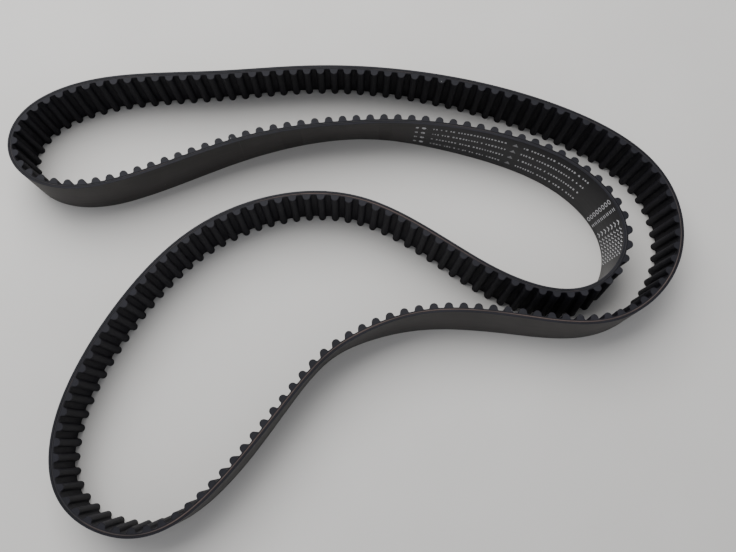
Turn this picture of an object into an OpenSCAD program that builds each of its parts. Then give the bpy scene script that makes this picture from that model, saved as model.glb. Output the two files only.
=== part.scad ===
// Endless timing belt with curved teeth, standing on one cut edge in a relaxed boomerang-shaped loop.
// Z = 0 is the lower cut edge. The origin is at the middle of the loop's outline on that plane.

/* [Belt] */
// Number of teeth round the belt
tooth_count = 211; // [190:1:230]
// Tooth pitch, measured along the middle of the tension cord
tooth_pitch = 8; // [7.6:0.1:8.4]
// Middle of the first tooth, measured along the cord from the start of the path
tooth_start = 5; // [0:0.5:8]
// Width of the belt, from cut edge to cut edge
belt_w = 32; // [24:1:40]

/* [Section] */
// Thickness of the rubber behind the cord
back_t = 1.15; // [0.8:0.05:2]
// Thickness of the cord layer
cord_t = 0.9; // [0.8:0.1:1.2]
// Thickness of the rubber between the cord and the facing in the lands
gum_t = 0.2; // [0.2:0.05:0.4]
// Thickness of the fabric facing
facing_t = 0.25; // [0.2:0.05:0.4]
// Height of a tooth above its lands
tooth_h = 3.0; // [2.6:0.1:3.4]
// Radius of the round tooth
tooth_r = 2.2; // [2.0:0.1:2.4]
// Radius of the fillet at the foot of a tooth
foot_r = 0.8; // [0.5:0.1:1.0]
// Number of cord wraps side by side across the width
wrap_count = 20; // [14:1:20]

/* [Print] */
// Height of the printed ink above the back
ink_t = 0.08; // [0.05:0.01:0.15]
// Place of the first printed column, measured along the cord from the start of the path
print_s = 449; // [440:1:460]

/* [Hidden] */
// Control points of the closed path that the cord follows, anticlockwise from above
path = [
    [-40, 216], [-100, 200], [-169, 191], [-212, 164], [-210, 127], [-163, 114],
    [-85, 165], [-18, 184], [31, 186], [110, 175], [151, 131], [127, 84],
    [69, 93], [-7, 144], [-82, 122], [-124, 78], [-156, 5], [-151, -44],
    [-118, -60], [-86, -55], [-56, -18], [-26, 38], [-7, 56], [33, 75],
    [84, 76], [141, 73], [178, 116], [168, 169], [120, 198], [41, 216]
];
spans = len(path);
chord_sag = 0.08;         // how far the plain layers' straight pieces stray from the curve
table_steps = 24;         // steps in each span of the length table
tip_steps = 6;            // straight pieces round a tooth tip
foot_steps = 1;           // straight pieces round a foot fillet

cord_out = cord_t / 2;
cord_in = -cord_t / 2;
back_out = cord_out + back_t;
gum_in = cord_in - gum_t;
land_in = gum_in - facing_t;
wrap_h = belt_w / wrap_count;

rubber_dark = [0.20, 0.19, 0.19];
rubber_tooth = [0.16, 0.16, 0.17];
fabric_black = [0.06, 0.06, 0.07];
cord_brown = [0.38, 0.27, 0.22];
ink_grey = [0.78, 0.78, 0.78];

WRAPS = [for (i = [1 : wrap_count]) str("tension_cord_", i < 10 ? "0" : "", i)];

// ---- The path: a closed uniform cubic B-spline ----

// Four control points that shape span i
function near(i) = [for (k = [-1 : 2]) path[(i + k + spans) % spans]];

function weights(t) = [
    pow(1 - t, 3) / 6,
    (3 * pow(t, 3) - 6 * pow(t, 2) + 4) / 6,
    (-3 * pow(t, 3) + 3 * pow(t, 2) + 3 * t + 1) / 6,
    pow(t, 3) / 6
];

function slopes(t) = [
    -pow(1 - t, 2) / 2,
    (3 * pow(t, 2) - 4 * t) / 2,
    (-3 * pow(t, 2) + 2 * t + 1) / 2,
    pow(t, 2) / 2
];

// Point and outward normal at parameter u, before scaling
function raw_point(u) = weights(u - floor(u)) * near(floor(u) % spans);
function tangent(u) = let (d = slopes(u - floor(u)) * near(floor(u) % spans)) d / norm(d);
function outward(u) = let (d = tangent(u)) [d.y, -d.x];

// Running length at each step of the table, by adding up the chords
table_n = spans * table_steps;
raw_table = [for (i = [0 : table_n]) raw_point(i / table_steps)];
chords = [for (i = [1 : table_n]) norm(raw_table[i] - raw_table[i - 1])];
lengths = [for (i = 0, sum = 0; i <= table_n; sum = sum + (i < table_n ? chords[i] : 0), i = i + 1) sum];

// The path is scaled so that the cord line holds the teeth exactly
belt_length = tooth_count * tooth_pitch;
path_scale = belt_length / lengths[table_n];
length_to_u = [for (i = [0 : table_n]) [lengths[i] * path_scale, i / table_steps]];
function u_at(s) = lookup((s % belt_length + belt_length) % belt_length, length_to_u);

function offset_point(u, d) = path_scale * raw_point(u) + d * outward(u);

// Each span is cut into more pieces where it is long or bends sharply
function bend(a, b) = acos(min(1, tangent(a) * tangent(b)));
function span_turn(i) = bend(i, i + 0.5) + bend(i + 0.5, i + 1);
function span_length(i) = lengths[(i + 1) * table_steps] - lengths[i * table_steps];
pieces = [
    for (i = [0 : spans - 1])
        ceil(sqrt(span_length(i) * span_turn(i) * PI / 180 / (8 * chord_sag)))
];
stations = [for (i = [0 : spans - 1], k = [0 : pieces[i] - 1]) i + k / pieces[i]];
rim = [for (u = stations) offset_point(u, back_out)];
rim_x = [for (p = rim) p.x];
rim_y = [for (p = rim) p.y];
middle = [(min(rim_x) + max(rim_x)) / 2, (min(rim_y) + max(rim_y)) / 2];

// Plain outline at distance d from the cord line, positive towards the back
function outline(d) = [for (u = stations) offset_point(u, d) - middle];

// ---- The teeth ----

// One pitch of the toothed side as [along, depth]: foot fillet, round tip, foot fillet
function tooth_shape(land, r, foot, h) = let (flank = land - foot, centre = land - (h - r)) concat(
    [for (k = [0 : foot_steps]) let (a = 90 * k / foot_steps)
        [-r - foot + foot * sin(a), land - foot * (1 - cos(a))]],
    [for (k = [0 : tip_steps]) let (a = 180 * k / tip_steps)
        if (centre < flank || (k > 0 && k < tip_steps)) [-r * cos(a), centre - r * sin(a)]],
    [for (k = [foot_steps : -1 : 0]) let (a = 90 * k / foot_steps)
        [r + foot - foot * sin(a), land - foot * (1 - cos(a))]]
);

function toothed_outline(land, r, foot, h) = [
    for (i = [0 : tooth_count - 1], p = tooth_shape(land, r, foot, h))
        offset_point(u_at(tooth_start + i * tooth_pitch + p.x), p.y) - middle
];

facing_outline = toothed_outline(land_in, tooth_r, foot_r, tooth_h);
rubber_outline = toothed_outline(gum_in, tooth_r - facing_t, foot_r + facing_t, tooth_h);

// ---- Shared shapes ----

// A wall of height h between two closed outlines
module ring(outer, inner, h) {
    n = len(outer);
    m = len(inner);
    linear_extrude(h)
        polygon(
            points = concat(outer, inner),
            paths = [[for (i = [0 : n - 1]) i], [for (i = [0 : m - 1]) n + i]]
        );
}

// Puts its children on the back of the belt: X runs along the belt, Y up its width, Z out of the back
module on_back(s, z) {
    u = u_at(s);
    n = pieces[floor(u)];
    step = 1 / n;
    u0 = floor(u) + floor((u - floor(u)) * n) / n;
    a = offset_point(u0, back_out);
    b = offset_point(u0 + step, back_out);
    p = a + (b - a) * (u - u0) / step - middle;
    t = (b - a) / norm(b - a);
    translate([p.x, p.y, z])
        rotate([0, 0, atan2(t.y, t.x)])
            rotate([90, 0, 0])
                children();
}

// A printed bar, centred
module bar(l, w) {
    translate([-l / 2, -w / 2, 0]) cube([l, w, ink_t]);
}

// ---- The belt's layers ----

module back_rubber() {
    color(rubber_dark) ring(outline(back_out), outline(cord_out), belt_w);
}

module tooth_rubber() {
    color(rubber_tooth) ring(outline(cord_in), rubber_outline, belt_w);
}

module tooth_facing() {
    color(fabric_black) ring(rubber_outline, facing_outline, belt_w);
}

// One wrap of the cord with its adhesion coat
module tension_cord(i) {
    color(cord_brown) translate([0, 0, i * wrap_h]) ring(outline(cord_out), outline(cord_in), wrap_h);
}

// ---- The print ----

row_z = [for (k = [0 : 3]) belt_w * (0.20 + 0.21 * k)];   // heights of the four printed rows

// Two columns of four dots
module print_dots() {
    color(ink_grey)
        for (ds = [0, 4], z = row_z)
            on_back(print_s + ds, z) cylinder(r = 0.9, h = ink_t, $fn = 24);
}

// Four rows of short dashes
module dash_rows(s, count, gap) {
    for (k = [0 : count - 1], z = row_z)
        on_back(s + k * gap, z) bar(k % 3 == 2 ? 1.0 : 1.8, 1.1);
}

module print_rows_left() {
    color(ink_grey) dash_rows(print_s + 10, 16, 2.8);
}

// A column of four triangles
module print_triangles() {
    color(ink_grey)
        for (z = row_z)
            on_back(print_s + 58.5, z)
                linear_extrude(ink_t) polygon([[-1.8, -1.6], [1.8, -1.6], [0, 1.8]]);
}

module print_rows_right() {
    color(ink_grey) dash_rows(print_s + 64.5, 16, 2.8);
}

// Heights of the columns that cross the whole width
column_n = 8;
column_z = [for (k = [0 : column_n - 1]) belt_w * (0.10 + 0.80 * k / (column_n - 1))];

module print_rings() {
    color(ink_grey)
        for (z = column_z)
            on_back(print_s + 121.5, z)
                difference() {
                    cylinder(r = 1.5, h = ink_t, $fn = 24);
                    translate([0, 0, -ink_t]) cylinder(r = 0.9, h = 3 * ink_t, $fn = 24);
                }
}

module print_ticks() {
    color(ink_grey)
        for (z = column_z, side = [-1, 1])
            on_back(print_s + 126.5, z + 0.8 * side) bar(1.8, 0.5);
}

// One chevron, pointing to the upper cut edge
module chevron() {
    linear_extrude(ink_t)
        polygon([[-1.2, -0.7], [-1.2, -0.1], [0, 1.2], [1.2, -0.1], [1.2, -0.7], [0, 0.6]]);
}

module print_chevrons() {
    color(ink_grey)
        for (z = [for (k = [0 : 6]) belt_w * (0.12 + 0.76 * k / 6)])
            on_back(print_s + 134, z) scale(1.1) chevron();
}

// Seven close columns of small check marks
module print_checks() {
    color(ink_grey)
        for (ds = [138 : 2.5 : 153.5], z = column_z)
            on_back(print_s + ds, z) scale(0.75) chevron();
}

back_rubber();
tooth_rubber();
tooth_facing();
for (i = [0 : wrap_count - 1]) tension_cord(i);
print_dots();
print_rows_left();
print_triangles();
print_rows_right();
print_rings();
print_ticks();
print_chevrons();
print_checks();
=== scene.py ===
import math
import random

import bpy
from mathutils import Matrix, Vector


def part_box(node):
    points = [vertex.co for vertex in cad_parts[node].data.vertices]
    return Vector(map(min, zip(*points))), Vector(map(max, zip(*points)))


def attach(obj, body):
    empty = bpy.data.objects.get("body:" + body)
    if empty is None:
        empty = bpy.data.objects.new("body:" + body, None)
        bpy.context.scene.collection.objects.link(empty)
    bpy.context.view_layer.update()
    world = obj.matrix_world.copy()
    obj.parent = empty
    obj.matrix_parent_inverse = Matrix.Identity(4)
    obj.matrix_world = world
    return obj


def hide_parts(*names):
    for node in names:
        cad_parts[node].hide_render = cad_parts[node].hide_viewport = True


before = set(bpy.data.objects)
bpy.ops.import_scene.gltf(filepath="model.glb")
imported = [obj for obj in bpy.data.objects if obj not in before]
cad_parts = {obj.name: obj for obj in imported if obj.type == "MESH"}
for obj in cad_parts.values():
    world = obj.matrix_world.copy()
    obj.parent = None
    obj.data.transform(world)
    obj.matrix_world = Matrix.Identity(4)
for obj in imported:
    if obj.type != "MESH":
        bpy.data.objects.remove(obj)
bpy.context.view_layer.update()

# ---- The line of the belt ----
# A relaxed endless belt takes the shape of a smooth closed curve. The line lies in the middle of the tension
# cord, at half the belt's width. Each point has its place in millimetres, before the line is scaled to the
# belt's length, and tells how far the belt leans there, in degrees, top edge outwards.

TOOTH_COUNT = 211
PITCH = 0.008
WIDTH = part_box("back_rubber")[1].z
BELT_LENGTH = TOOTH_COUNT * PITCH
LINE_STEPS = 32

LINE_POINTS = [
    (41, 216, -0.8), (-40, 216, -7.9), (-100, 200, -3.7), (-169, 191, 1.4), (-212, 164, 3.0),
    (-210, 127, -0.4), (-163, 114, -1.1), (-85, 165, 0.0), (-18, 184, 12.5), (31, 186, -1.9),
    (110, 175, -11.9), (151, 131, -9.2), (127, 84, 16.6), (69, 93, 7.5), (-7, 144, 2.2),
    (-82, 122, 6.3), (-124, 78, 3.7), (-156, 5, 1.4), (-151, -44, -2.6), (-118, -60, 0.9),
    (-86, -55, 0.9), (-56, -18, -1.8), (-26, 38, 3.8), (-7, 56, 0.7), (33, 75, -9.9),
    (84, 76, -8.2), (141, 73, -4.6), (178, 116, -0.2), (168, 169, 4.4), (120, 198, 6.7),
]


def line_vertices():
    """The line as a row of straight pieces, in its own units."""
    mesh = line.to_mesh()
    places = [v.co.copy() for v in mesh.vertices]
    line.to_mesh_clear()
    return places


line_data = bpy.data.curves.new("belt_line", "CURVE")
line_data.dimensions = "3D"
line_data.twist_mode = "Z_UP"
line_data.resolution_u = LINE_STEPS
line_data.use_path = True
line_data.use_deform_bounds = False
spline = line_data.splines.new("NURBS")
spline.points.add(len(LINE_POINTS) - 1)
spline.order_u = 4
spline.use_cyclic_u = True
for point, (x, y, lean) in zip(spline.points, LINE_POINTS):
    point.co = (x / 1000, y / 1000, 0, 1)
    point.tilt = math.radians(lean)
line = bpy.data.objects.new("belt_line", line_data)
bpy.context.collection.objects.link(line)
bpy.context.view_layer.update()

# The line is scaled to the belt's length and centred where the cord lies
places = line_vertices()
raw_length = sum((b - a).length for a, b in zip(places, places[1:] + places[:1]))
line_scale = BELT_LENGTH / raw_length
cord_low, cord_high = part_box("tension_cord_10")
middle_x = (min(p.x for p in places) + max(p.x for p in places)) / 2
middle_y = (min(p.y for p in places) + max(p.y for p in places)) / 2
for point in spline.points:
    point.co.x = (point.co.x - middle_x) * line_scale + (cord_low.x + cord_high.x) / 2
    point.co.y = (point.co.y - middle_y) * line_scale + (cord_low.y + cord_high.y) / 2
    point.co.z = WIDTH / 2
bpy.context.view_layer.update()


# ---- Back rubber ----
# The plain outer wall of the belt is a nitrile compound, moulded on a drum and then ground flat, so it carries
# very fine marks along its length. Its two edges are cut by a rotating knife, and come out bluer and duller.

CORD_OUT = cord_high.x - max(p.x for p in line_vertices())
BACK_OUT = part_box("back_rubber")[1].x - cord_high.x + CORD_OUT
WALL_CELL = PITCH / 4
WALL_CELLS = TOOTH_COUNT * 4
CORNER_WEAR = 0.00012
STRIP_GAP = 4e-5


def pick(piece, kind, wanted):
    """Selects what passes the test, and leaves the piece in edit mode."""
    bpy.context.view_layer.objects.active = piece
    bpy.ops.object.mode_set(mode="EDIT")
    bpy.ops.mesh.select_mode(type=kind)
    bpy.ops.mesh.select_all(action="DESELECT")
    bpy.ops.object.mode_set(mode="OBJECT")
    parts = {"VERT": piece.data.vertices, "EDGE": piece.data.edges, "FACE": piece.data.polygons}[kind]
    for part in parts:
        part.select = wanted(part)
    bpy.ops.object.mode_set(mode="EDIT")


def number_surface(piece, cell):
    """Gives a flat cell its own coordinates: cells along the belt, and metres across it."""
    layer = piece.data.uv_layers.active or piece.data.uv_layers.new(name="along_belt")
    layer.name = "along_belt"
    for face in piece.data.polygons:
        on_edge = abs(face.normal.z) > 0.7
        for corner in face.loop_indices:
            place = piece.data.vertices[piece.data.loops[corner].vertex_index].co
            layer.data[corner].uv = (place.x / cell, place.y if on_edge else place.z)


def bend_to_line(piece):
    """Bends a flat piece along the line. What would dip under the floor is pressed flat on it."""
    bend = piece.modifiers.new("bend", "CURVE")
    bend.object = line
    bend.deform_axis = "POS_X"
    bpy.ops.object.select_all(action="DESELECT")
    piece.select_set(True)
    bpy.context.view_layer.objects.active = piece
    bpy.ops.object.modifier_apply(modifier=bend.name)
    for vertex in piece.data.vertices:
        vertex.co.z = max(vertex.co.z, 0)


def run_round_belt(piece, cell, copies):
    """Repeats a flat cell round the whole belt, bends the strip and joins its two ends."""
    row = piece.modifiers.new("row", "ARRAY")
    row.count = copies
    row.use_relative_offset = False
    row.use_constant_offset = True
    row.constant_offset_displace = (cell, 0, 0)
    row.use_merge_vertices = True
    row.merge_threshold = 1e-6
    row.offset_u = 1
    bpy.ops.object.select_all(action="DESELECT")
    piece.select_set(True)
    bpy.context.view_layer.objects.active = piece
    bpy.ops.object.modifier_apply(modifier=row.name)
    bend_to_line(piece)
    bpy.ops.object.mode_set(mode="EDIT")
    bpy.ops.mesh.select_mode(type="VERT")
    bpy.ops.mesh.select_all(action="SELECT")
    bpy.ops.mesh.remove_doubles(threshold=STRIP_GAP)
    bpy.ops.object.mode_set(mode="OBJECT")


def add_node(tree, kind, **values):
    """Adds a shader node and sets its inputs by name, from a value or from another node's output."""
    node = tree.nodes.new(kind)
    for name, value in values.items():
        socket = node.inputs[name.replace("_", " ")]
        if isinstance(value, bpy.types.NodeSocket):
            tree.links.new(value, socket)
        else:
            socket.default_value = value
    return node


def math_node(tree, what, a, b=0.5, clamp=False):
    """A sum on two numbers."""
    node = tree.nodes.new("ShaderNodeMath")
    node.operation = what
    node.use_clamp = clamp
    for socket, value in zip(node.inputs, (a, b)):
        if isinstance(value, bpy.types.NodeSocket):
            tree.links.new(value, socket)
        else:
            socket.default_value = value
    return node.outputs[0]


def mix_colour(tree, share, first, second):
    """Blends two colours by a mask."""
    node = tree.nodes.new("ShaderNodeMix")
    node.data_type = "RGBA"
    for socket, value in zip((node.inputs[0], node.inputs[6], node.inputs[7]), (share, first, second)):
        if isinstance(value, bpy.types.NodeSocket):
            tree.links.new(value, socket)
        else:
            socket.default_value = value
    return node.outputs[2]


def span(tree, value, low, high, to_low=0.0, to_high=1.0):
    """Stretches a range of a pattern to another range, held at its ends."""
    node = tree.nodes.new("ShaderNodeMapRange")
    tree.links.new(value, node.inputs["Value"])
    for name, number in zip(("From Min", "From Max", "To Min", "To Max"), (low, high, to_low, to_high)):
        node.inputs[name].default_value = number
    return node.outputs[0]


def new_finish(name):
    """An empty material with its shader."""
    material = bpy.data.materials.new(name)
    material.use_nodes = True
    tree = material.node_tree
    tree.nodes.clear()
    shader = tree.nodes.new("ShaderNodeBsdfPrincipled")
    output = tree.nodes.new("ShaderNodeOutputMaterial")
    tree.links.new(shader.outputs[0], output.inputs[0])
    return material, tree, shader


def belt_coordinates(tree, cell):
    """Metres along the belt, metres across it and nothing for depth."""
    uv = tree.nodes.new("ShaderNodeUVMap")
    uv.uv_map = "along_belt"
    return add_node(tree, "ShaderNodeMapping", Vector=uv.outputs[0], Scale=(cell, 1, 1)).outputs[0]


def along_belt(tree, place):
    """The first of the belt's coordinates, in metres from the start of the line."""
    split = tree.nodes.new("ShaderNodeSeparateXYZ")
    tree.links.new(place, split.inputs[0])
    return split.outputs[0]


def stretch(tree, along, rise, fall):
    """A mask for one stretch of the belt: it fades in over the places of rise, and out over those of fall."""
    fade_in = span(tree, along, *rise)
    fade_out = span(tree, along, *fall, 1, 0)
    return math_node(tree, "MULTIPLY", fade_in, fade_out)


def hairline(tree, along, at, core, fade, strength):
    """A mask for one fine line straight across the belt."""
    away = math_node(tree, "ABSOLUTE", math_node(tree, "SUBTRACT", along, at))
    return span(tree, away, core, fade, strength, 0)


# Wear that every rubber surface shares: fine grain, soft blotches and a few pale specks of dust
wear_group = bpy.data.node_groups.new("rubber_wear", "ShaderNodeTree")
wear_group.interface.new_socket("Place", in_out="INPUT", socket_type="NodeSocketVector")
dust_socket = wear_group.interface.new_socket("Dust", in_out="INPUT", socket_type="NodeSocketFloat")
dust_socket.default_value = 0.5
for socket_name in ("Grain", "Blotch", "Specks"):
    wear_group.interface.new_socket(socket_name, in_out="OUTPUT", socket_type="NodeSocketFloat")
wear_in = wear_group.nodes.new("NodeGroupInput")
wear_out = wear_group.nodes.new("NodeGroupOutput")
grain = add_node(wear_group, "ShaderNodeTexNoise", Vector=wear_in.outputs[0], Scale=2600, Detail=3,
                 Roughness=0.6)
blotch = add_node(wear_group, "ShaderNodeTexNoise", Vector=wear_in.outputs[0], Scale=45, Detail=4,
                  Roughness=0.55)
flecks = add_node(wear_group, "ShaderNodeTexVoronoi", Vector=wear_in.outputs[0], Scale=260)
fleck_pick = add_node(wear_group, "ShaderNodeTexNoise", Vector=wear_in.outputs[0], Scale=70, Detail=1)
fleck_dot = span(wear_group, flecks.outputs["Distance"], 0.05, 0.11, 1, 0)
fleck_here = span(wear_group, fleck_pick.outputs[0], 0.62, 0.66)
fleck_mask = math_node(wear_group, "MULTIPLY", fleck_dot, fleck_here)
wear_group.links.new(grain.outputs[0], wear_out.inputs["Grain"])
wear_group.links.new(blotch.outputs[0], wear_out.inputs["Blotch"])
speck_mask = math_node(wear_group, "MULTIPLY", fleck_mask, wear_in.outputs[1])
wear_group.links.new(speck_mask, wear_out.inputs["Specks"])


def rubber_wear(tree, place, dust):
    """Places the shared wear in a material and returns its grain, blotch and speck outputs."""
    node = tree.nodes.new("ShaderNodeGroup")
    node.node_tree = wear_group
    tree.links.new(place, node.inputs["Place"])
    node.inputs["Dust"].default_value = dust
    return node.outputs["Grain"], node.outputs["Blotch"], node.outputs["Specks"]


def ground_back_finish():
    """Ground rubber: dark warm grey and satin, with faint marks along the belt and one fine seam across it.

    The stretch that carries the print is coloured near black and made smoother.
    """
    material, tree, shader = new_finish("ground_back")
    place = belt_coordinates(tree, WALL_CELL)
    grain_out, blotch_out, specks = rubber_wear(tree, place, 0.5)
    drawn_out = add_node(tree, "ShaderNodeMapping", Vector=place, Scale=(25, 1400, 1)).outputs[0]
    marks = add_node(tree, "ShaderNodeTexNoise", Vector=drawn_out, Scale=1, Detail=3, Roughness=0.7).outputs[0]
    along = along_belt(tree, place)
    # Darkens the back to near black and lowers its roughness along the stretch that carries the print.
    print_stretch_share = stretch(tree, along, (0.441, 0.456), (0.600, 0.640))
    seam = hairline(tree, along, 0.344, 0.00008, 0.00022, 0.5)
    dark = (0.027, 0.024, 0.023, 1)
    light = (0.041, 0.037, 0.035, 1)
    mark_grey = (0.058, 0.053, 0.050, 1)
    print_stretch_black = (0.0085, 0.0078, 0.0095, 1)
    seam_grey = (0.08, 0.076, 0.072, 1)
    dust = (0.28, 0.27, 0.25, 1)
    colour = mix_colour(tree, span(tree, blotch_out, 0.3, 0.7), dark, light)
    colour = mix_colour(tree, span(tree, marks, 0.45, 0.8, 0, 0.35), colour, mark_grey)
    colour = mix_colour(tree, print_stretch_share, colour, print_stretch_black)
    colour = mix_colour(tree, seam, colour, seam_grey)
    colour = mix_colour(tree, specks, colour, dust)
    tree.links.new(colour, shader.inputs["Base Color"])
    ground = span(tree, marks, 0.3, 0.75, 0.52, 0.70)
    rough = math_node(tree, "SUBTRACT", ground, math_node(tree, "MULTIPLY", print_stretch_share, 0.17))
    tree.links.new(rough, shader.inputs["Roughness"])
    height = math_node(tree, "ADD", math_node(tree, "MULTIPLY", grain_out, 0.5), marks)
    bump = add_node(tree, "ShaderNodeBump", Height=height, Strength=0.25, Distance=0.00004)
    tree.links.new(bump.outputs[0], shader.inputs["Normal"])
    shader.inputs["Specular IOR Level"].default_value = 0.33
    return material


def cut_edge_finish(name, cell):
    """Knife-cut rubber: bluish grey, dull, with short knife marks, small pits and pale dust."""
    material, tree, shader = new_finish(name)
    place = belt_coordinates(tree, cell)
    grain_out, blotch_out, specks = rubber_wear(tree, place, 0.9)
    slanted = add_node(tree, "ShaderNodeMapping", Vector=place, Rotation=(0, 0, 0.35), Scale=(160, 2200, 1))
    knife = add_node(tree, "ShaderNodeTexNoise", Vector=slanted.outputs[0], Scale=1, Detail=2,
                     Roughness=0.6).outputs[0]
    dark = (0.0042, 0.0042, 0.0068, 1)
    light = (0.0092, 0.0090, 0.0140, 1)
    mark_grey = (0.030, 0.030, 0.040, 1)
    dust = (0.42, 0.41, 0.40, 1)
    colour = mix_colour(tree, span(tree, blotch_out, 0.3, 0.7), dark, light)
    colour = mix_colour(tree, span(tree, knife, 0.5, 0.8, 0, 0.3), colour, mark_grey)
    colour = mix_colour(tree, specks, colour, dust)
    tree.links.new(colour, shader.inputs["Base Color"])
    shader.inputs["Specular IOR Level"].default_value = 0.3
    tree.links.new(span(tree, grain_out, 0.3, 0.7, 0.6, 0.8), shader.inputs["Roughness"])
    height = math_node(tree, "ADD", grain_out, knife)
    bump = add_node(tree, "ShaderNodeBump", Height=height, Strength=0.3, Distance=0.00005)
    tree.links.new(bump.outputs[0], shader.inputs["Normal"])
    return material


def finish_edges(piece, face_material, edge_material):
    """The faces that look up or down are cut rubber, and the rest is moulded or ground."""
    piece.data.materials.clear()
    piece.data.materials.append(face_material)
    piece.data.materials.append(edge_material)
    for face in piece.data.polygons:
        face.material_index = 1 if abs(face.normal.z) > 0.7 else 0


bpy.ops.object.select_all(action="DESELECT")
bpy.ops.mesh.primitive_cube_add(size=1, location=(WALL_CELL / 2, -(CORD_OUT + BACK_OUT) / 2, 0))
back = bpy.context.object
back.name = "belt_back"
back.scale = (WALL_CELL, BACK_OUT - CORD_OUT, WIDTH)
bpy.ops.object.transform_apply(location=True, rotation=True, scale=True)
pick(back, "FACE", lambda face: abs(face.normal.x) > 0.9)
bpy.ops.mesh.delete(type="ONLY_FACE")
bpy.ops.object.mode_set(mode="OBJECT")


def on_back_corner(edge):
    """True for the two long edges on the outside of the wall."""
    ends = [back.data.vertices[i].co for i in edge.vertices]
    return abs(ends[0].x - ends[1].x) > 1e-5 and ends[0].y < -(CORD_OUT + 1e-5)


pick(back, "EDGE", on_back_corner)
bpy.ops.mesh.bevel(offset=CORNER_WEAR, segments=2, affect="EDGES")
bpy.ops.object.mode_set(mode="OBJECT")
number_surface(back, WALL_CELL)
run_round_belt(back, WALL_CELL, WALL_CELLS)
pick(back, "FACE", lambda face: True)
bpy.ops.mesh.normals_make_consistent(inside=False)
bpy.ops.object.mode_set(mode="OBJECT")
back_edge_material = cut_edge_finish("cut_back_edge", WALL_CELL)
finish_edges(back, ground_back_finish(), back_edge_material)
bpy.ops.object.shade_smooth_by_angle(angle=math.radians(40))
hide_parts("back_rubber")
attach(back, "root")


# ---- Tension cord ----
# Glass cord is wound side by side across the width and bonded with a brown adhesion coat. Only the outermost
# wraps show, as a thin brown line along two stretches of the cut edge. Elsewhere they are coloured near black.

CORD_NAMES = sorted(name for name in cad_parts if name.startswith("tension_cord_"))
CORD_PITCH = WIDTH / len(CORD_NAMES)
CORD_SIDES = 10


def cord_finish():
    """Twisted glass with a brown coat, coloured near black outside two stretches and in patches within them.
    """
    material, tree, shader = new_finish("cord")
    place = belt_coordinates(tree, WALL_CELL)
    grain_out, blotch_out, specks = rubber_wear(tree, place, 0.6)
    turned = add_node(tree, "ShaderNodeMapping", Vector=place, Rotation=(0, 0, 0.9)).outputs[0]
    strands = add_node(tree, "ShaderNodeTexWave", Vector=turned, Scale=900, Distortion=0.6).outputs[1]
    patch_noise = add_node(tree, "ShaderNodeTexNoise", Vector=place, Scale=22, Detail=4, Roughness=0.6).outputs[0]
    # The cord is coloured brown only along two stretches and near black elsewhere, with near-black patches
    # inside the stretches.
    along = along_belt(tree, place)
    first_brown_stretch = stretch(tree, along, (0.68, 0.73), (0.80, 0.86))
    second_brown_stretch = stretch(tree, along, (1.04, 1.10), (1.42, 1.48))
    brown_stretches = math_node(tree, "ADD", first_brown_stretch, second_brown_stretch, True)
    dark_share = math_node(tree, "SUBTRACT", 1.0, math_node(tree, "MULTIPLY", brown_stretches, 0.75))
    dark_share = math_node(tree, "ADD", dark_share, span(tree, patch_noise, 0.42, 0.62, -0.15, 0.35), True)
    coat_brown = (0.060, 0.040, 0.036, 1)
    strand_brown = (0.16, 0.115, 0.10, 1)
    cord_near_black = (0.012, 0.011, 0.014, 1)
    dust = (0.5, 0.47, 0.43, 1)
    colour = mix_colour(tree, strands, coat_brown, strand_brown)
    colour = mix_colour(tree, dark_share, colour, cord_near_black)
    colour = mix_colour(tree, specks, colour, dust)
    tree.links.new(colour, shader.inputs["Base Color"])
    tree.links.new(span(tree, grain_out, 0.3, 0.7, 0.55, 0.8), shader.inputs["Roughness"])
    bump = add_node(tree, "ShaderNodeBump", Height=strands, Strength=0.4, Distance=0.00008)
    tree.links.new(bump.outputs[0], shader.inputs["Normal"])
    return material


cord_material = cord_finish()
bpy.ops.object.select_all(action="DESELECT")
bpy.ops.mesh.primitive_cylinder_add(vertices=CORD_SIDES, radius=0.5, depth=WALL_CELL,
                                    end_fill_type="NOTHING", rotation=(0, math.pi / 2, 0))
cord_cell = bpy.context.object
bpy.ops.object.transform_apply(location=False, rotation=True, scale=False)
cord_cell.location = (WALL_CELL / 2, 0, 0)
cord_cell.scale = (1, 2 * CORD_OUT, CORD_PITCH)
bpy.ops.object.transform_apply(location=True, rotation=False, scale=True)
number_surface(cord_cell, WALL_CELL)
for wrap, cord_name in enumerate(CORD_NAMES):
    cord = cord_cell.copy()
    cord.data = cord_cell.data.copy()
    cord.name = "wrap_" + cord_name[-2:]
    bpy.context.collection.objects.link(cord)
    cord.data.transform(Matrix.Translation((0, 0, (wrap + 0.5) * CORD_PITCH - WIDTH / 2)))
    run_round_belt(cord, WALL_CELL, WALL_CELLS)
    cord.data.materials.append(cord_material)
    bpy.ops.object.shade_smooth()
    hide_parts(cord_name)
    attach(cord, "root")
bpy.data.objects.remove(cord_cell)


# ---- Tooth rubber ----
# The teeth are the same compound, pressed through the cord into a grooved mould. Each tooth is a half cylinder
# that stands on two small fillets, where it meets the flat land between the teeth.

TOOTH_START = 0.005
LAND = 0.0009
TOOTH_HEIGHT = 0.003
TOOTH_RADIUS = 0.0022
FOOT_RADIUS = 0.0008
FACING = 0.00025
FOOT_STEPS = 3
TIP_STEPS = 6


def tooth_outline(land, tip_radius, foot_radius, height):
    """One pitch of the toothed side: from the middle of a land up a fillet, over the tooth and down again."""
    centre = land + height - tip_radius
    half = [(-PITCH / 2, land)]
    for step in range(FOOT_STEPS + 1):
        angle = math.radians(90 * step / FOOT_STEPS)
        x = -tip_radius - foot_radius * (1 - math.sin(angle))
        half.append((x, land + foot_radius * (1 - math.cos(angle))))
    for step in range(1, TIP_STEPS):
        angle = math.radians(90 * step / TIP_STEPS)
        half.append((-tip_radius * math.cos(angle), centre + tip_radius * math.sin(angle)))
    whole = half + [(0, centre + tip_radius)] + [(-x, y) for x, y in reversed(half)]
    return [(TOOTH_START + x, y) for x, y in whole]


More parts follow.
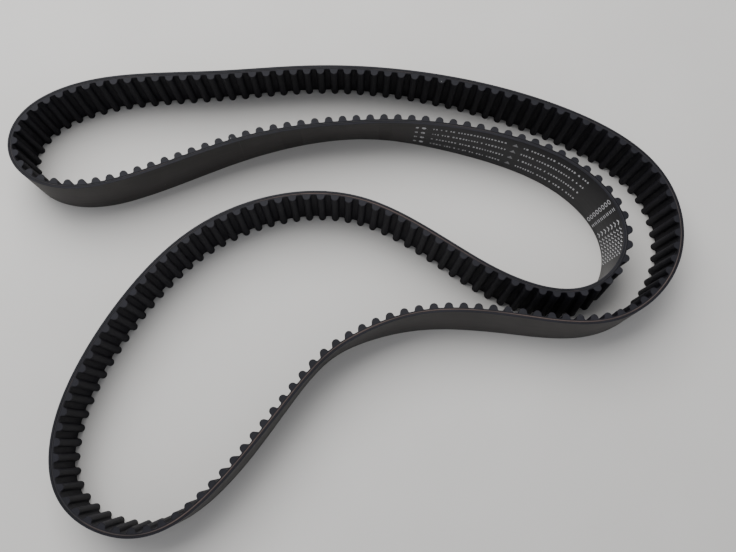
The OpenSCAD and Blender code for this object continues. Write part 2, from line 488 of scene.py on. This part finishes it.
def outline_sheet(name, outline):
    """A sheet as high as the belt is wide, drawn along the outline edge by edge."""
    bpy.ops.object.select_all(action="DESELECT")
    bpy.ops.mesh.primitive_plane_add(size=WIDTH, rotation=(math.pi / 2, 0, 0))
    sheet = bpy.context.object
    sheet.name = name
    bpy.ops.object.transform_apply(location=True, rotation=True, scale=True)
    pick(sheet, "VERT", lambda vertex: vertex.co.x > 0)
    bpy.ops.mesh.delete(type="VERT")
    bpy.ops.mesh.select_all(action="SELECT")
    bpy.ops.transform.translate(value=(WIDTH / 2 + outline[0][0], outline[0][1], 0))
    for (x0, y0), (x1, y1) in zip(outline, outline[1:]):
        bpy.ops.mesh.extrude_region_move(TRANSFORM_OT_translate={"value": (x1 - x0, y1 - y0, 0)})
    bpy.ops.mesh.select_all(action="SELECT")
    bpy.ops.mesh.normals_make_consistent(inside=False)
    bpy.ops.object.mode_set(mode="OBJECT")
    if sum(face.normal.y for face in sheet.data.polygons) < 0:
        sheet.data.flip_normals()
    return sheet


def on_cell_end(face):
    """True for the two faces where one pitch meets the next."""
    return abs(face.normal.x) > 0.9 and abs(face.center.x - TOOTH_START) > PITCH / 2 - 1e-5


under_facing = tooth_outline(LAND - FACING, TOOTH_RADIUS - FACING, FOOT_RADIUS + FACING, TOOTH_HEIGHT)
teeth = outline_sheet("belt_teeth", under_facing)
pick(teeth, "FACE", lambda face: True)
bpy.ops.mesh.extrude_region_move(TRANSFORM_OT_translate={"value": (0, 0, 0)})
bpy.ops.transform.resize(value=(1, 0, 1), center_override=(0, CORD_OUT, 0))
bpy.ops.mesh.select_all(action="SELECT")
bpy.ops.mesh.normals_make_consistent(inside=False)
bpy.ops.object.mode_set(mode="OBJECT")
pick(teeth, "FACE", on_cell_end)
bpy.ops.mesh.delete(type="ONLY_FACE")
bpy.ops.object.mode_set(mode="OBJECT")
number_surface(teeth, PITCH)
run_round_belt(teeth, PITCH, TOOTH_COUNT)
pick(teeth, "FACE", lambda face: True)
bpy.ops.mesh.normals_make_consistent(inside=False)
bpy.ops.object.mode_set(mode="OBJECT")
tooth_edge_material = cut_edge_finish("cut_tooth_edge", PITCH)
finish_edges(teeth, tooth_edge_material, tooth_edge_material)
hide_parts("tooth_rubber")
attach(teeth, "root")


# ---- Tooth facing ----
# A stretched nylon fabric covers teeth and lands. It is soaked in rubber, so it is almost black, and its fine
# twill just shows. Its two ends meet in one straight joint across the belt.


def facing_finish():
    """Rubber-soaked twill: near black, with its threads as relief and a paler bloom on the thread tops."""
    material, tree, shader = new_finish("facing_twill")
    place = belt_coordinates(tree, PITCH)
    grain_out, blotch_out, specks = rubber_wear(tree, place, 0.35)
    twill = add_node(tree, "ShaderNodeMapping", Vector=place, Rotation=(0, 0, 0.8)).outputs[0]
    threads = add_node(tree, "ShaderNodeTexWave", Vector=twill, Scale=520, Distortion=0.4).outputs[1]
    picks = add_node(tree, "ShaderNodeTexWave", Vector=place, Scale=700, Distortion=0.3).outputs[1]
    weave = math_node(tree, "MULTIPLY", threads, math_node(tree, "ADD", picks, 0.5), True)
    joint = hairline(tree, along_belt(tree, place), 0.1432, 0.0001, 0.0003, 0.55)
    dark = (0.0070, 0.0066, 0.0090, 1)
    light = (0.0135, 0.0125, 0.0165, 1)
    thread_grey = (0.016, 0.0155, 0.019, 1)
    joint_grey = (0.10, 0.095, 0.10, 1)
    dust = (0.22, 0.21, 0.20, 1)
    colour = mix_colour(tree, span(tree, blotch_out, 0.3, 0.7), dark, light)
    colour = mix_colour(tree, math_node(tree, "MULTIPLY", weave, 0.3), colour, thread_grey)
    colour = mix_colour(tree, joint, colour, joint_grey)
    colour = mix_colour(tree, specks, colour, dust)
    tree.links.new(colour, shader.inputs["Base Color"])
    tree.links.new(span(tree, weave, 0, 1, 0.75, 0.55), shader.inputs["Roughness"])
    height = math_node(tree, "ADD", weave, math_node(tree, "MULTIPLY", grain_out, 0.4))
    bump = add_node(tree, "ShaderNodeBump", Height=height, Strength=0.5, Distance=0.00006)
    tree.links.new(bump.outputs[0], shader.inputs["Normal"])
    shader.inputs["Specular IOR Level"].default_value = 0.14
    return material


facing = outline_sheet("belt_facing", tooth_outline(LAND, TOOTH_RADIUS, FOOT_RADIUS, TOOTH_HEIGHT))
number_surface(facing, PITCH)
run_round_belt(facing, PITCH, TOOTH_COUNT)
skin = facing.modifiers.new("skin", "SOLIDIFY")
skin.thickness = FACING
skin.offset = -1
bpy.ops.object.modifier_apply(modifier=skin.name)
facing.data.materials.append(facing_finish())
bpy.ops.object.shade_smooth_by_angle(angle=math.radians(40))
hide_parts("tooth_facing")
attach(facing, "root")


# ---- Print ----
# Pale ink is rolled on the back: dots, four rows of short dashes on each side of a column of triangles, then
# rings, ticks, chevrons and close columns of checks. The ink is thin and worn, so the rubber shows through it.
# Places along the belt count from the first column of dots.

INK_LIFT = 0.00005
PRINT_START = 0.449
ROW_HEIGHTS = [WIDTH * (0.20 + 0.21 * k) for k in range(4)]
COLUMN_HEIGHTS = [WIDTH * (0.10 + 0.80 * k / 7) for k in range(8)]
CHEVRON_HEIGHTS = [WIDTH * (0.12 + 0.76 * k / 6) for k in range(7)]
DOT_COLUMNS = ((0, 0.0019), (0.004, 0.0026))    # place and size
LEFT_ROWS = (0.0095, 0.0535)
TRIANGLES_AT = 0.0585
RIGHT_ROWS = (0.0635, 0.1055)
RINGS_AT = 0.1215
TICKS_AT = 0.1265
CHEVRONS_AT = 0.134
CHECKS_AT = 0.138
CHECK_COLUMNS = 7
CHECK_STEP = 0.0025
DASH_LENGTHS = (0.0007, 0.0009, 0.0011)
DASH_HEIGHTS = (0.0012, 0.0015)
DASH_GAPS = (0.0008, 0.0009, 0.0009, 0.0010, 0.0020)
CHECK_LINE = 0.00045
random.seed(7)


def ink_finish(name, strength):
    """Pale ink, worn thin in patches. A higher strength keeps more of it."""
    material, tree, shader = new_finish(name)
    place = tree.nodes.new("ShaderNodeTexCoord").outputs["Object"]
    patches = add_node(tree, "ShaderNodeTexNoise", Vector=place, Scale=900, Detail=3, Roughness=0.7).outputs[0]
    kept = span(tree, patches, 0.35, 0.65, min(strength, 1), strength * 0.5)
    rubber = (0.035, 0.032, 0.034, 1)
    ink = (0.62, 0.62, 0.64, 1)
    colour = mix_colour(tree, kept, rubber, ink)
    tree.links.new(colour, shader.inputs["Base Color"])
    tree.links.new(span(tree, patches, 0.3, 0.7, 0.5, 0.7), shader.inputs["Roughness"])
    return material


def ink_plate(s, z, corners, length, height, turn=0):
    """One printed mark on the flat belt: a plate with its number of corners, its size and its turn."""
    bpy.ops.object.select_all(action="DESELECT")
    square_up = math.pi / 4 if corners == 4 else 0
    bpy.ops.mesh.primitive_cylinder_add(vertices=corners, radius=0.5, depth=INK_LIFT,
                                        rotation=(0, 0, square_up))
    plate = bpy.context.object
    bpy.ops.object.transform_apply(location=False, rotation=True, scale=False)
    grow = math.sqrt(2) if corners == 4 else 1
    plate.data.transform(Matrix.Diagonal((length * grow, height * grow, 1, 1)))
    plate.data.transform(Matrix.Rotation(turn, 4, "Z"))
    plate.data.transform(Matrix.Rotation(math.pi / 2, 4, "X"))
    plate.data.transform(Matrix.Translation((s, -(BACK_OUT + INK_LIFT / 2), z - WIDTH / 2)))
    return plate


def print_block(name, plates, node, strength):
    """Joins the marks of one block, lays them on the belt and gives them their ink."""
    bpy.ops.object.select_all(action="DESELECT")
    for plate in plates:
        plate.select_set(True)
    bpy.context.view_layer.objects.active = plates[0]
    if len(plates) > 1:
        bpy.ops.object.join()
    block = bpy.context.view_layer.objects.active
    block.name = name
    bend_to_line(block)
    block.data.materials.clear()
    block.data.materials.append(ink_finish(name + "_ink", strength))
    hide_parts(node)
    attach(block, "root")


dots = [ink_plate(PRINT_START + place, z, 12, size, size)
        for place, size in DOT_COLUMNS for z in ROW_HEIGHTS]
print_block("ink_dots", dots, "print_dots", 1.2)


def dash_row(row, z):
    """A row of small blocks of uneven length, with a few wider gaps."""
    plates = []
    s = PRINT_START + row[0]
    while s < PRINT_START + row[1]:
        length = random.choice(DASH_LENGTHS)
        plates.append(ink_plate(s + length / 2, z, 4, length, random.choice(DASH_HEIGHTS)))
        s += length + random.choice(DASH_GAPS)
    return plates


left_rows = [plate for z in ROW_HEIGHTS for plate in dash_row(LEFT_ROWS, z)]
print_block("ink_rows_left", left_rows, "print_rows_left", 1.0)
triangles = [ink_plate(PRINT_START + TRIANGLES_AT, z, 3, 0.0042, 0.0036) for z in ROW_HEIGHTS]
print_block("ink_triangles", triangles, "print_triangles", 0.45)
right_rows = [plate for z in ROW_HEIGHTS for plate in dash_row(RIGHT_ROWS, z)]
print_block("ink_rows_right", right_rows, "print_rows_right", 1.2)


def ink_ring(s, z, outer, inner):
    """A printed ring: a disc whose two faces are inset, and bridged through its middle."""
    ring = ink_plate(s, z, 16, outer, outer)
    pick(ring, "FACE", lambda face: abs(face.normal.y) > 0.9)
    bpy.ops.mesh.inset(thickness=(outer - inner) / 2)
    bpy.ops.mesh.bridge_edge_loops()
    bpy.ops.object.mode_set(mode="OBJECT")
    return ring


rings = [ink_ring(PRINT_START + RINGS_AT, z, 0.0028, 0.0018) for z in COLUMN_HEIGHTS]
print_block("ink_rings", rings, "print_rings", 1.2)
ticks = [ink_plate(PRINT_START + TICKS_AT, z + side * 0.0008, 4, 0.0018, 0.0005)
         for z in COLUMN_HEIGHTS for side in (-1, 1)]
print_block("ink_ticks", ticks, "print_ticks", 1.1)


def ink_chevron(s, z, size):
    """Two short bars that meet in a point, which looks to the upper cut edge."""
    return [ink_plate(s + side * size * 0.25, z, 4, size * 0.75, size * 0.26, side * math.radians(-46))
            for side in (-1, 1)]


chevrons = [bar for z in CHEVRON_HEIGHTS for bar in ink_chevron(PRINT_START + CHEVRONS_AT, z, 0.0028)]
print_block("ink_chevrons", chevrons, "print_chevrons", 1.2)


def ink_check(s, z):
    """A check mark: a long bar up the belt, and a short one that meets its foot."""
    return [ink_plate(s + 0.0002, z, 4, 0.0024, CHECK_LINE, math.radians(66)),
            ink_plate(s - 0.0006, z - 0.0007, 4, 0.0010, CHECK_LINE, math.radians(-50))]


checks = [bar for column in range(CHECK_COLUMNS) for z in COLUMN_HEIGHTS
          for bar in ink_check(PRINT_START + CHECKS_AT + CHECK_STEP * column, z)]
print_block("ink_checks", checks, "print_checks", 1.4)

bpy.data.objects.remove(line)


# ---- Floor, light and camera ----
# The belt stands on a plain pale floor under one broad soft light, with a weaker one to fill the shadows.

FLOOR_DARK = (0.64, 0.625, 0.60, 1)
FLOOR_LIGHT = (0.67, 0.655, 0.63, 1)
SKY = (0.93, 0.95, 1.0, 1)
SKY_STRENGTH = 0.47
CAMERA_TILT = 12.995
CAMERA_ROLL = 6.32

bpy.ops.object.select_all(action="DESELECT")
bpy.ops.mesh.primitive_plane_add(size=6, location=(0, 0, 0))
floor = bpy.context.object
floor.name = "floor"
floor_material, floor_tree, floor_shader = new_finish("pale_floor")
floor_place = floor_tree.nodes.new("ShaderNodeTexCoord").outputs["Object"]
floor_noise = add_node(floor_tree, "ShaderNodeTexNoise", Vector=floor_place, Scale=12, Detail=3).outputs[0]
floor_colour = mix_colour(floor_tree, span(floor_tree, floor_noise, 0.3, 0.7), FLOOR_DARK, FLOOR_LIGHT)
floor_tree.links.new(floor_colour, floor_shader.inputs["Base Color"])
floor_shader.inputs["Roughness"].default_value = 0.85
floor.data.materials.append(floor_material)


def soft_light(name, place, aim, size, power):
    """A square studio light that points at a place on the floor."""
    data = bpy.data.lights.new(name, "AREA")
    data.shape = "SQUARE"
    data.size = size
    data.energy = power
    light = bpy.data.objects.new(name, data)
    bpy.context.collection.objects.link(light)
    light.location = place
    light.rotation_euler = (Vector(aim) - Vector(place)).to_track_quat("-Z", "Y").to_euler()


soft_light("main_light", (-0.30, 0.50, 0.80), (-0.12, 0.15, 0), 0.85, 13.5)
soft_light("fill_light", (0.9, -0.9, 1.2), (0, 0, 0), 1.5, 0.6)
world = bpy.data.worlds.new("studio")
world.use_nodes = True
world.node_tree.nodes["Background"].inputs[0].default_value = SKY
world.node_tree.nodes["Background"].inputs[1].default_value = SKY_STRENGTH
bpy.context.scene.world = world

camera_data = bpy.data.cameras.new("camera")
camera_data.sensor_width = 36
camera_data.lens = 35.57
camera = bpy.data.objects.new("camera", camera_data)
bpy.context.collection.objects.link(camera)
camera.rotation_mode = "ZYX"
camera.rotation_euler = (math.radians(CAMERA_TILT), 0, math.radians(CAMERA_ROLL))
camera.location = (0.0185, -0.0790, 0.4201)
bpy.context.scene.camera = camera
